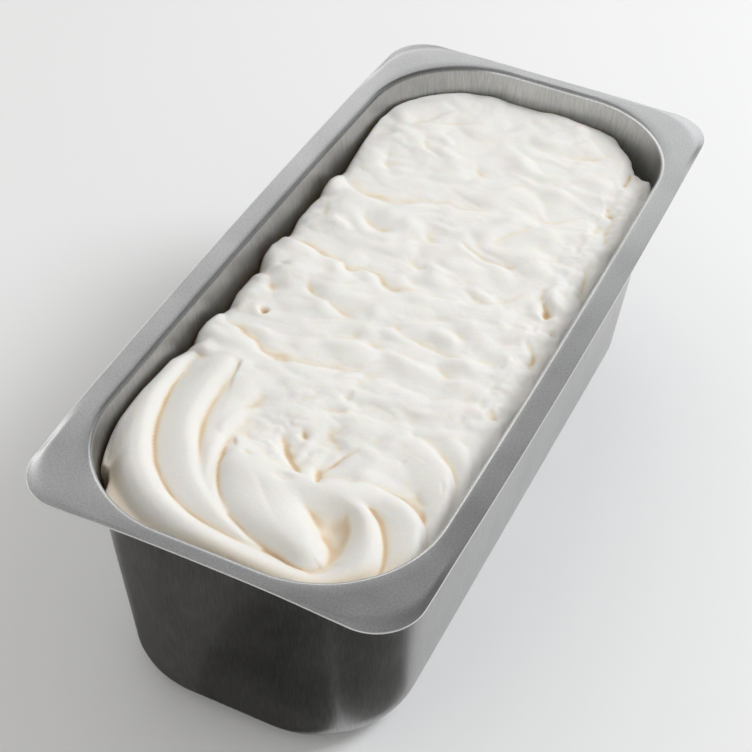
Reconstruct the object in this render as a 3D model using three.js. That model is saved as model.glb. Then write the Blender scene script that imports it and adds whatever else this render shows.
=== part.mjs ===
// Steel display pan filled with spatula-swirled ice cream.
// Millimetres, +Z up, origin at the centre of the underside, +Y along the pan's length.
// The swirled end is at -Y.
import * as THREE from 'three';

// ---- the pan: driving sizes ------------------------------------------------
const PAN_LENGTH = 360;        // flange, end to end, before the ends' slight hollow
const PAN_WIDTH = 165;         // flange, side to side, at the corners
const PAN_HEIGHT = 120;        // flange top to underside
const SHEET = 0.8;             // steel thickness
const FLANGE_CORNER_R = 20.6;
const FLANGE_SIDE_BOW = 2.7;   // long edges bulge by this at mid-length
const FLANGE_END_HOLLOW = 1.9; // short edges draw in by this at mid-width
const CORNER_DROP = 0.9;       // the flange corners curl down by this
const CORNER_DROP_RUN = 34;    // along each edge, from the corner arc to level again
const OPEN_LENGTH = 342.8;     // inner face of the wall, just under the bend
const OPEN_WIDTH = 142.9;
const OPEN_CORNER_R = 50.5;
const OPEN_SIDE_BOW = 1.9;
const OPEN_END_HOLLOW = 0.9;
const BEND_R = 2.2;            // top face of the bend from wall to flange
const FOOT_LENGTH = 322.6;     // outer face, at the top of the bottom fillet
const FOOT_WIDTH = 129.1;
const FOOT_CORNER_R = 45;
const BOTTOM_FILLET = 15.5;    // outer face

const CORNER_SEGMENTS = 10;
const SIDE_SEGMENTS = 6;
const END_SEGMENTS = 4;
const FILLET_SEGMENTS = 3;
const BEND_SEGMENTS = 2;

// ---- the ice cream: driving sizes ------------------------------------------
const GAP = 0.5;               // between the ice cream and the steel
const GRID_ACROSS = 36;
const GRID_ALONG = 78;
const ROWS_TO_SWIRL = 1.25;    // above 1, the rows bunch up towards the swirled end
const FIELD_LEVEL = -12.6;     // the worked field, from the flange top
const FLOOR_LEVEL = -12.9;     // between the strokes of the swirl
const SWIRL_DROP = 8;          // the field falls away by this where the swirl begins
const EDGE_ROUND = 9;          // the surface rolls over this near the wall
const BLEND = 2.2;             // how sharply strokes meet
const WAVE = 1.2, LUMP = 1.6;  // broad unevenness of the field

// Spatula strokes. Each node is x, y, crest level from the flange top, and the half-widths on the
// inner and the outer side of the swirl. flanks are the powers of the inner and the outer slope.
const STROKES = [
  // round the near end, outermost first
  { nodes: [[-66.5, -70, -13, 5, 6], [-66.5, -96, -9, 6, 8], [-58.5, -122, -7.3, 5.4, 10], [-43, -143.5, -6.8, 5.4, 10], [-18, -157, -7.2, 5.6, 11], [34, -159, -9.6, 8, 10]], sag: 4, flanks: [2.5, 2.4] },
  { nodes: [[-50, -57, -11.8, 7, 12], [-48, -88, -8.3, 6, 13], [-43, -112, -7.2, 5.2, 12], [-29.5, -132.5, -7.1, 5.2, 12], [-9, -147, -8.6, 4.6, 7], [12, -153.5, -11.6, 3, 3]], sag: 4, flanks: [2.5, 1.5] },
  { nodes: [[-30, -66, -11.8, 8, 9], [-35, -93, -9.6, 8, 9], [-28.5, -118, -9, 5.5, 8], [-9, -144, -10.4, 5, 6]], sag: 3.6, flanks: [2.5, 1.5] },
  { nodes: [[-20, -113, -10.4, 13, 6], [-5, -129, -7, 18, 11], [18, -142.5, -5.7, 14, 13], [26.5, -145, -5.5, 10.8, 10.8]], sag: 4.6, flanks: [2.6, 2.2] },
  // the plate that joins the heads of the last strokes
  { nodes: [[-12, -118, -9.6, 9, 9], [18, -120, -8.4, 9, 9], [30, -116.5, -8.4, 8, 6.5], [40, -112.5, -8.9, 6, 5]], sag: 3.6, flanks: [2.4, 3.2] },
  { nodes: [[27, -118, -9.2, 6, 6], [42, -124.5, -7.4, 5, 6.5], [50.5, -142, -6.8, 5.6, 10], [44, -157.5, -8.4, 7, 9], [32, -163, -9.6, 7, 6]], sag: 4, flanks: [2.5, 1.5] },
  { nodes: [[33, -111, -9.6, 7, 7], [51, -112, -8.2, 5, 10], [63.5, -125, -7.2, 4, 10.5], [64, -144, -9, 5, 9], [58, -153, -10.6, 5, 7]], sag: 4, flanks: [2.5, 1.5] },
  { nodes: [[36, -77, -11.2, 8, 13], [56, -85.5, -9.1, 4.8, 14], [64.5, -102, -9.2, 4.2, 9], [67, -119, -11.6, 4, 5]], sag: 3.4, flanks: [2.5, 1.5] },
  { nodes: [[42, -64, -12.2, 8, 8], [63, -76.5, -10.3, 4.6, 7], [69, -96, -12, 4, 5]], sag: 3.4, flanks: [2.5, 1.5] },
];
// Folds, where one wave laps over the last: x, y, rise of the near side, depth of the groove.
const FOLDS = [
  [[-73, 81, 2.6, 4.2], [-50, 65.5, 2.6, 2.8], [-18, 74, 1.4, 1.7], [10, 77, 0.9, 1.1], [66, 88, 0.9, 0.6]],
  [[-73, 25, 2.8, 4], [-46, 14.5, 2.3, 1.8], [-9, 6, 1.3, 1.8], [26, 16, 0.8, 0.4], [67, 26, 1, 0.6]],
  [[-73, -35, 2.8, 4.2], [-47, -49.5, 2, 1.6], [-20, -51, 1.8, 2.8], [8, -48, 0.9, 0.7], [67, -36, 0.9, 0.8]],
];
const FOLD_REACH = 32;         // a wave sinks back to the field over this
// Broad hollows and swellings: x, y, radius across, radius along, height.
const SWELLINGS = [
  [-29, 114, 6, 5, 1], [-37, 108, 5, 4, -1], [34, 140, 8, 5, -0.9], [34, 90, 8, 6, -1],
  [-37, 45, 5, 4, -0.9], [20, 47, 8, 3, -0.9], [34, 24, 8, 6, -1], [-30, -5, 6, 5, 1.2],
  [-35, -15, 7, 3, -1.2], [20, -20, 12, 3, -1], [28, -97, 11, 9, 1.6], [42, -92, 10, 8, 0.7],
  [5, -101, 10, 11, -2.2], [6, -84, 4, 5.5, -1.6], [2, -118, 26, 8, 2.2], [30, -109, 12, 6, 1.4],
];
// Where the ice cream meets the wall: direction from the middle (degrees, the length scaled to the
// width), level there, and how far it has drawn away from the steel.
const CONTACT = [
  [-153, -11, 0.1], [-143, -10.8, 0.2], [-138.8, -13.5, 1.8], [-136, -14.5, 3.4], [-132.8, -15, 3.8],
  [-129.3, -14, 2.4], [-125.2, -11.8, 0.3], [-90, -11, 0], [-48, -11.6, 0.1], [-41, -13.2, 0.2],
  [-22, -14, 0.3], [-4, -17, 0.5], [3, -14.6, 0.3], [17.9, -20, 1.2], [27, -18, 0.6], [36, -15.6, 0.4],
  [43.5, -15.5, 0.5], [46.3, -17.5, 4.4], [51.1, -17.5, 6.2], [57, -16.5, 4.2], [63.5, -16, 1.6],
  [82, -15.8, 0.5], [119, -14.2, 0.4], [135, -12.6, 0.2], [147, -14.6, 0.2], [152, -20, 0.7],
  [156.5, -14.8, 0.2], [160.8, -17.4, 0.5], [167.5, -15.4, 0.2], [171.2, -19, 0.7], [176.5, -12.4, 0.1],
  [182.2, -19, 0.6], [189.5, -16.5, 0.3], [193.4, -20.5, 0.8], [198.6, -12.8, 0.1], [203.1, -18.5, 0.8],
];
// the field ends, and the swirl begins, along this line across the pan
const SWIRL_EDGE = [[-80, -67], [-44, -64], [-29, -110], [-10, -118], [10, -120], [50, -103], [80, -84]];

// ---- plan outlines ---------------------------------------------------------
const clamp = (v, lo, hi) => Math.min(hi, Math.max(lo, v));

// moves a point of a rounded rectangle so that the long sides bulge and the ends hollow
function bowed(x, y, plan) {
  const tx = 1 - clamp((2 * x) / plan.width, -1, 1) ** 2;
  const ty = 1 - clamp((2 * y) / plan.length, -1, 1) ** 2;
  return [
    x + plan.bow * ty * clamp((2 * x) / plan.width, -1, 1),
    y - plan.hollow * tx * clamp((2 * y) / plan.length, -1, 1),
  ];
}

// a rounded rectangle as a closed ring of points, anticlockwise from above
function outline(plan) {
  const hx = plan.width / 2, hy = plan.length / 2, r = plan.radius;
  const corners = [[1, -1, -90], [1, 1, 0], [-1, 1, 90], [-1, -1, 180]];
  const runs = [SIDE_SEGMENTS, END_SEGMENTS, SIDE_SEGMENTS, END_SEGMENTS];
  const ring = [];
  corners.forEach(([sx, sy, start], c) => {
    const cx = sx * (hx - r), cy = sy * (hy - r);
    let last;
    for (let i = 0; i <= CORNER_SEGMENTS; i++) {
      const a = THREE.MathUtils.degToRad(start + (90 * i) / CORNER_SEGMENTS);
      last = [cx + r * Math.cos(a), cy + r * Math.sin(a)];
      ring.push(last);
    }
    const [nx, ny, nStart] = corners[(c + 1) % 4];
    const na = THREE.MathUtils.degToRad(nStart);
    const next = [nx * (hx - r) + r * Math.cos(na), ny * (hy - r) + r * Math.sin(na)];
    for (let i = 1; i < runs[c]; i++) {
      const t = i / runs[c];
      ring.push([last[0] + (next[0] - last[0]) * t, last[1] + (next[1] - last[1]) * t]);
    }
  });
  return ring.map(([x, y]) => bowed(x, y, plan));
}

// a plan grown by d all round (or shrunk, when d is negative)
const grown = (plan, d) => ({
  ...plan, length: plan.length + 2 * d, width: plan.width + 2 * d, radius: plan.radius + d,
});

// a plan between two others
const between = (a, b, t) => Object.fromEntries(Object.keys(a).map((k) => [k, a[k] + (b[k] - a[k]) * t]));

const OPENING = { length: OPEN_LENGTH, width: OPEN_WIDTH, radius: OPEN_CORNER_R, bow: OPEN_SIDE_BOW, hollow: OPEN_END_HOLLOW };
const FOOT = { length: FOOT_LENGTH, width: FOOT_WIDTH, radius: FOOT_CORNER_R, bow: 0, hollow: 0 };
const FLANGE = { length: PAN_LENGTH, width: PAN_WIDTH, radius: FLANGE_CORNER_R, bow: FLANGE_SIDE_BOW, hollow: FLANGE_END_HOLLOW };
const FOOT_Z = BOTTOM_FILLET;                 // heights above the underside from here on
const TOP_Z = PAN_HEIGHT;
const BEND_Z = TOP_Z - BEND_R;

// ---- closed body from rings that share a point count -----------------------
function bodyFromRings(rings, startPoint, endPoint) {
  const n = rings[0].length;
  const positions = [...startPoint];
  rings.forEach((ring) => ring.forEach((p) => positions.push(...p)));
  positions.push(...endPoint);
  const index = [];
  const at = (k, i) => 1 + k * n + (i % n);
  for (let i = 0; i < n; i++) index.push(0, at(0, i), at(0, i + 1));
  for (let k = 0; k + 1 < rings.length; k++) {
    for (let i = 0; i < n; i++) {
      index.push(at(k, i), at(k + 1, i), at(k + 1, i + 1));
      index.push(at(k, i), at(k + 1, i + 1), at(k, i + 1));
    }
  }
  const end = 1 + rings.length * n;
  for (let i = 0; i < n; i++) index.push(end, at(rings.length - 1, i + 1), at(rings.length - 1, i));
  const geometry = new THREE.BufferGeometry();
  geometry.setAttribute('position', new THREE.Float32BufferAttribute(positions, 3));
  geometry.setIndex(index);
  geometry.computeVertexNormals();
  return geometry;
}

// ---- the pan ---------------------------------------------------------------
function cornerDrop(x, y) {
  const dx = Math.max(0, PAN_WIDTH / 2 - FLANGE_CORNER_R - Math.abs(x));
  const dy = Math.max(0, PAN_LENGTH / 2 - FLANGE_CORNER_R - Math.abs(y));
  return CORNER_DROP * (1 - THREE.MathUtils.smoothstep(Math.max(dx, dy), 0, CORNER_DROP_RUN));
}

function panGeometry() {
  const at = (plan, z) => outline(plan).map(([x, y]) => [x, y, z]);
  const filletRings = (inset, outward) => {
    const r = BOTTOM_FILLET - inset, rings = [];
    for (let i = 0; i <= FILLET_SEGMENTS; i++) {
      const a = ((outward ? i : FILLET_SEGMENTS - i) / FILLET_SEGMENTS) * (Math.PI / 2);
      rings.push(at(grown(FOOT, -inset - r * (1 - Math.sin(a))), FOOT_Z - r * Math.cos(a)));
    }
    return rings;
  };
  const flangeRing = (share, drop, dz) => {
    const inner = outline(grown(OPENING, BEND_R)), outer = outline(FLANGE);
    return inner.map(([x, y], i) => {
      const px = x + (outer[i][0] - x) * share, py = y + (outer[i][1] - y) * share;
      return [px, py, TOP_Z + dz - drop * cornerDrop(px, py)];
    });
  };
  const bendRings = (r, up) => {
    const rings = [];
    for (let i = 0; i <= BEND_SEGMENTS; i++) {
      const a = ((up ? i : BEND_SEGMENTS - i) / BEND_SEGMENTS) * (Math.PI / 2);
      rings.push(at(grown(OPENING, BEND_R - r * Math.cos(a)), BEND_Z + r * Math.sin(a)));
    }
    return rings;
  };
  // from the inside of the bottom, up the wall, over the flange, and down the outside
  const rings = [
    ...filletRings(SHEET, true),
    ...bendRings(BEND_R, true),
    flangeRing(0.72, 0, 0),
    flangeRing(1, 1, 0),
    flangeRing(1, 1, -SHEET),
    flangeRing(0.72, 0, -SHEET),
    ...bendRings(BEND_R - SHEET, false),
    ...filletRings(0, false),
  ];
  return bodyFromRings(rings, [0, 0, SHEET], [0, 0, 0]);
}

// ---- the ice cream ---------------------------------------------------------
// a smooth curve through nodes, on all their columns
function through(nodes, steps) {
  const first = nodes[0].map((v, c) => 2 * v - nodes[1][c]);
  const last = nodes.at(-1).map((v, c) => 2 * v - nodes.at(-2)[c]);
  const p = [first, ...nodes, last], out = [];
  const spans = nodes.length - 1;
  for (let i = 0; i <= steps * spans; i++) {
    const k = Math.min(Math.floor(i / steps), spans - 1), t = i / steps - k;
    out.push(p[k].map((a, c) => {
      const b0 = p[k + 1][c], c0 = p[k + 2][c], d = p[k + 3][c];
      return 0.5 * (2 * b0 + (c0 - a) * t + (2 * a - 5 * b0 + 4 * c0 - d) * t * t + (3 * b0 - a - 3 * c0 + d) * t ** 3);
    }));
  }
  return out;
}

const strokes = STROKES.map((s) => ({ ...s, line: through(s.nodes, 7) }));
const folds = FOLDS.map((f) => through(f, 7));

// distance from a curve, which side of it (left is positive), and the curve's columns there
function along(line, x, y) {
  let best = Infinity, side = 1, values = null;
  for (let i = 0; i + 1 < line.length; i++) {
    const a = line[i], b = line[i + 1];
    const ex = b[0] - a[0], ey = b[1] - a[1];
    const t = clamp(((x - a[0]) * ex + (y - a[1]) * ey) / (ex * ex + ey * ey), 0, 1);
    const dx = x - a[0] - ex * t, dy = y - a[1] - ey * t, d = Math.hypot(dx, dy);
    if (d < best) {
      best = d;
      side = ex * dy - ey * dx < 0 ? -1 : 1;
      values = a.map((v, c) => v + (b[c] - v) * t);
    }
  }
  return { d: best, side, values };
}

const step = (lo, hi, v) => { const t = clamp((v - lo) / (hi - lo), 0, 1); return t * t * (3 - 2 * t); };

// level of a stroke's surface over a point of the plan
function strokeLevel(s, x, y) {
  const { d, side, values: [, , crest, inner, outer] } = along(s.line, x, y);
  const share = step(-1.2, 1.2, side * d);
  const q = d / Math.max(outer + (inner - outer) * share, 2);
  return crest - s.sag * q ** (s.flanks[1] + (s.flanks[0] - s.flanks[1]) * share);
}

// smooth uneven waves in about -1 to 1, with cells of size 1
function waves(x, y, seed) {
  const x0 = Math.floor(x), y0 = Math.floor(y), fx = x - x0, fy = y - y0;
  const ease = (t) => t ** 3 * (t * (t * 6 - 15) + 10);
  const corner = (i, j) => {
    let h = (Math.imul(x0 + i, 374761393) + Math.imul(y0 + j, 668265263) + Math.imul(seed, 974634777)) >>> 0;
    h = Math.imul(h ^ (h >>> 13), 1274126177) >>> 0;
    h = (h ^ (h >>> 16)) >>> 0;
    const a = ((h & 0xffffff) / 0xffffff) * 2 * Math.PI;
    return Math.cos(a) * (fx - i) + Math.sin(a) * (fy - j);
  };
  const u = ease(fx), v = ease(fy);
  const low = corner(0, 0) * (1 - u) + corner(1, 0) * u, high = corner(0, 1) * (1 - u) + corner(1, 1) * u;
  return 1.5 * (low * (1 - v) + high * v);
}

// a value read off a table of rows by its first column, at v
function lookUp(rows, v, column) {
  let k = 0;
  while (k < rows.length - 2 && rows[k + 1][0] < v) k++;
  const t = clamp((v - rows[k][0]) / (rows[k + 1][0] - rows[k][0]), 0, 1);
  return rows[k][column] + (rows[k + 1][column] - rows[k][column]) * t;
}

// distance from a point to the wall of a plan, inside it
function toWall(plan, x, y) {
  const qx = Math.abs(x) - (plan.width / 2 - plan.radius), qy = Math.abs(y) - (plan.length / 2 - plan.radius);
  return plan.radius - Math.hypot(Math.max(qx, 0), Math.max(qy, 0)) - Math.min(Math.max(qx, qy), 0);
}

function fieldLevel(x, y) {
  const ax = x + 5 * waves(x / 22, y / 22, 51), ay = y + 5 * waves(x / 22, y / 22, 52);
  const rx = 0.975 * ax + 0.22 * ay, ry = 0.975 * ay - 0.22 * ax;
  let z = FIELD_LEVEL + WAVE * waves(ax / 28, ay / 19, 1) + LUMP * (Math.hypot(waves(rx / 21, ry / 13, 2), 0.2) - 0.35);
  for (const f of folds) {
    const { d, side, values: [, , rise, dip] } = along(f, x, y);
    const lap = rise * (1 - Math.exp(-((d / 4.2) ** 1.3))) * Math.exp(-((d / FOLD_REACH) ** 1.5));
    z += side < 0 ? lap - dip * Math.exp(-((d / 2.2) ** 1.2)) : -dip * Math.exp(-((d / 6) ** 0.9));
  }
  return z - SWIRL_DROP * step(0, 9, lookUp(SWIRL_EDGE, x, 1) - y);
}

function surfaceLevel(plan, x, y) {
  const levels = [Math.max(fieldLevel(x, y), FLOOR_LEVEL), ...strokes.map((s) => strokeLevel(s, x, y))];
  const top = Math.max(...levels);
  let z = top + Math.log(levels.reduce((sum, l) => sum + Math.exp(BLEND * (l - top)), 0)) / BLEND;
  for (const [mx, my, rx, ry, h] of SWELLINGS) z += h * Math.exp(-0.5 * (((x - mx) / rx) ** 2 + ((y - my) / ry) ** 2));
  let direction = THREE.MathUtils.radToDeg(Math.atan2(y * (PAN_WIDTH / PAN_LENGTH), x));
  if (direction < CONTACT[0][0]) direction += 360;
  const level = lookUp(CONTACT, direction, 1), drawn = lookUp(CONTACT, direction, 2);
  const gap = toWall(plan, x, y) - drawn;
  const edge = 1 - clamp(gap / EDGE_ROUND, 0, 1);
  z -= Math.max(z - level, 0) * (1 - Math.sqrt(1 - edge ** 2.2));
  return z - 5 * Math.max(-gap, 0);
}

// the room inside the pan, GAP clear of the steel, at a height above the underside
function roomAt(z) {
  const inner = grown(FOOT, -SHEET - GAP), mouth = grown(OPENING, -GAP);
  const r = BOTTOM_FILLET - SHEET - GAP;
  if (z >= FOOT_Z) return between(inner, mouth, (z - FOOT_Z) / (BEND_Z - FOOT_Z));
  const a = Math.acos(clamp((FOOT_Z - z) / r, 0, 1));
  return grown(inner, -r * (1 - Math.sin(a)));
}

// a point of a plan by its share across (u) and along (v), both from -1 to 1; rows bunch up in
// the corner arcs at the two ends
function roomPoint(plan, u, v) {
  const hx = plan.width / 2, hy = plan.length / 2, r = plan.radius;
  const straight = 0.72;
  const m = Math.abs(v);
  let y, w = hx;
  if (m <= straight) y = (m / straight) * (hy - r);
  else {
    const a = ((m - straight) / (1 - straight)) * (Math.PI / 2);
    y = hy - r + r * Math.sin(a);
    w = hx - r + r * Math.cos(a);
  }
  return bowed(u * w, Math.sign(v) * y, plan);
}

function iceCreamGeometry() {
  const us = Array.from({ length: GRID_ACROSS + 1 }, (_, i) => -1 + (2 * i) / GRID_ACROSS);
  const vs = Array.from({ length: GRID_ALONG + 1 }, (_, j) => -1 + 2 * (j / GRID_ALONG) ** ROWS_TO_SWIRL);
  const level = roomAt(TOP_Z - 14);
  const positions = [];
  const id = (i, j) => j * us.length + i;
  for (const v of vs) {
    for (const u of us) {
      const z = TOP_Z + surfaceLevel(level, ...roomPoint(level, u, v));
      positions.push(...roomPoint(roomAt(z), u, v), z);
    }
  }
  const index = [];
  const levelOf = (k) => positions[3 * k + 2];
  for (let j = 0; j < GRID_ALONG; j++) {
    for (let i = 0; i < GRID_ACROSS; i++) {
      // each cell is split along its flatter diagonal, so that ridges and creases stay smooth
      const a = id(i, j), b = id(i + 1, j), c = id(i + 1, j + 1), d = id(i, j + 1);
      if (Math.abs(levelOf(a) - levelOf(c)) < Math.abs(levelOf(b) - levelOf(d))) index.push(a, b, c, a, c, d);
      else index.push(a, b, d, b, c, d);
    }
  }
  // the edge of the grid, anticlockwise from above, then the same ring down the sides
  const edge = [];
  for (let i = 0; i < GRID_ACROSS; i++) edge.push([i, 0]);
  for (let j = 0; j < GRID_ALONG; j++) edge.push([GRID_ACROSS, j]);
  for (let i = GRID_ACROSS; i > 0; i--) edge.push([i, GRID_ALONG]);
  for (let j = GRID_ALONG; j > 0; j--) edge.push([0, j]);
  let upper = edge.map(([i, j]) => id(i, j));
  const r = BOTTOM_FILLET - SHEET - GAP;
  for (let k = FILLET_SEGMENTS; k >= 0; k--) {
    const z = FOOT_Z - r * Math.cos((k / FILLET_SEGMENTS) * (Math.PI / 2));
    const plan = roomAt(z);
    const lower = edge.map(([i, j]) => {
      const [x, y] = roomPoint(plan, us[i], vs[j]);
      positions.push(x, y, z);
      return positions.length / 3 - 1;
    });
    edge.forEach((_, e) => {
      const f = (e + 1) % edge.length;
      index.push(upper[e], lower[e], lower[f], upper[e], lower[f], upper[f]);
    });
    upper = lower;
  }
  positions.push(0, 0, FOOT_Z - r);
  const centre = positions.length / 3 - 1;
  edge.forEach((_, e) => index.push(centre, upper[(e + 1) % edge.length], upper[e]));
  const geometry = new THREE.BufferGeometry();
  geometry.setAttribute('position', new THREE.Float32BufferAttribute(positions, 3));
  geometry.setIndex(index);
  geometry.computeVertexNormals();
  return geometry;
}

// ---- scene graph -----------------------------------------------------------
const steel = new THREE.MeshStandardMaterial({ color: 0xa6a6a3, roughness: 0.34, metalness: 1 });
const cream = new THREE.MeshStandardMaterial({ color: 0xf1efe8, roughness: 0.5, metalness: 0 });

const filledPan = new THREE.Group();
const pan = new THREE.Mesh(panGeometry(), steel);
pan.name = 'pan';
filledPan.add(pan);
const iceCream = new THREE.Mesh(iceCreamGeometry(), cream);
iceCream.name = 'ice_cream';
filledPan.add(iceCream);

export default filledPan;
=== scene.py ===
"""A steel display pan filled with spatula-swirled white ice cream, in a plain pale studio."""
import math

import bpy
import numpy as np
from mathutils import Matrix, Vector


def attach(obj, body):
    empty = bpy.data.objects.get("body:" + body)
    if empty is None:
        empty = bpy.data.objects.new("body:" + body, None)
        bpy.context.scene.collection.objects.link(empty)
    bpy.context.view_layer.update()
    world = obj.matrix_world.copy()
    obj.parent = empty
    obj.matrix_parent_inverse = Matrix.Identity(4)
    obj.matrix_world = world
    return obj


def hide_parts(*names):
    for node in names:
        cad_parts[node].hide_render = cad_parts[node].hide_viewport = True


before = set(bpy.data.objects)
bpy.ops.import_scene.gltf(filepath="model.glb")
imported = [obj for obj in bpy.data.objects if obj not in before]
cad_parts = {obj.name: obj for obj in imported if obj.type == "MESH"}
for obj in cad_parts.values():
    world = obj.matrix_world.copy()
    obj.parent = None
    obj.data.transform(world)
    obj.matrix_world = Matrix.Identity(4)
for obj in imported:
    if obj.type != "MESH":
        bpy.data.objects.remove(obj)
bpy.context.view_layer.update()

MM = 0.001
TOP = 120.0  # the flange's top face above the underside, mm

# ---------------------------------------------------------------- plan outlines
# A plan is (length, width, corner radius, side bow, end hollow), all in mm.
SHEET = 0.8
BEND_R = 2.2
FILLET = 15.5
FLANGE = np.array([360.0, 165.0, 20.6, 2.7, 1.9])
OPENING = np.array([342.8, 142.9, 50.5, 1.9, 0.9])
FOOT = np.array([322.6, 129.1, 45.0, 0.0, 0.0])
BEND_Z = TOP - BEND_R
GROW = np.array([2.0, 2.0, 1.0, 0.0, 0.0])


def grown(plan, d):
    return plan + GROW * d


def bowed(x, y, plan):
    length, width, _, bow, hollow = plan
    fx, fy = np.clip(2 * x / width, -1, 1), np.clip(2 * y / length, -1, 1)
    return x + bow * (1 - fy**2) * fx, y - hollow * (1 - fx**2) * fy


def outline(plan, corner=22, side=44, end=14):
    """A rounded rectangle as a closed ring, anticlockwise from above."""
    length, width, r = plan[:3]
    hx, hy = width / 2, length / 2
    pts = []
    runs = [side, end, side, end]
    corners = [(1, -1, -90), (1, 1, 0), (-1, 1, 90), (-1, -1, 180)]
    for c, (sx, sy, start) in enumerate(corners):
        a = np.radians(start + np.linspace(0, 90, corner + 1))
        arc = np.c_[sx * (hx - r) + r * np.cos(a), sy * (hy - r) + r * np.sin(a)]
        nx, ny, ns = corners[(c + 1) % 4]
        na = math.radians(ns)
        nxt = np.array([nx * (hx - r) + r * math.cos(na), ny * (hy - r) + r * math.sin(na)])
        t = np.linspace(0, 1, runs[c] + 1)[1:-1, None]
        pts += [arc, arc[-1] + (nxt - arc[-1]) * t]
    p = np.concatenate(pts)
    return np.c_[bowed(p[:, 0], p[:, 1], plan)]


# ---------------------------------------------------------------- smooth noise
def _hash(ix, iy, seed):
    h = (ix.astype(np.int64) * 374761393 + iy.astype(np.int64) * 668265263 + seed * 974634777) & 0xFFFFFFFF
    h = ((h ^ (h >> 13)) * 1274126177) & 0xFFFFFFFF
    h = h ^ (h >> 16)
    return (h & 0xFFFFFF) / float(0xFFFFFF)


def noise(x, y, seed=0):
    """Gradient noise in about -1 to 1 with cells of size 1."""
    x0, y0 = np.floor(x), np.floor(y)
    fx, fy = x - x0, y - y0
    u, v = fx**3 * (fx * (fx * 6 - 15) + 10), fy**3 * (fy * (fy * 6 - 15) + 10)

    def corner(i, j):
        a = _hash(x0 + i, y0 + j, seed) * 2 * np.pi
        return np.cos(a) * (fx - i) + np.sin(a) * (fy - j)

    a = corner(0, 0) * (1 - u) + corner(1, 0) * u
    b = corner(0, 1) * (1 - u) + corner(1, 1) * u
    return 1.5 * (a * (1 - v) + b * v)


def fbm(x, y, seed=0, octaves=4, gain=0.5):
    total, amp = 0, 1.0
    for k in range(octaves):
        total = total + amp * noise(x * 2**k + 17.3 * k, y * 2**k - 9.1 * k, seed + k)
        amp *= gain
    return total


def billow(x, y, seed=0, soft=0.12):
    """Round-topped lumps with soft valleys between them, about -0.35 to 0.65."""
    return np.sqrt(noise(x, y, seed) ** 2 + soft * soft) - 0.35


def smooth(a, b, x):
    t = np.clip((x - a) / (b - a), 0, 1)
    return t * t * (3 - 2 * t)


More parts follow.
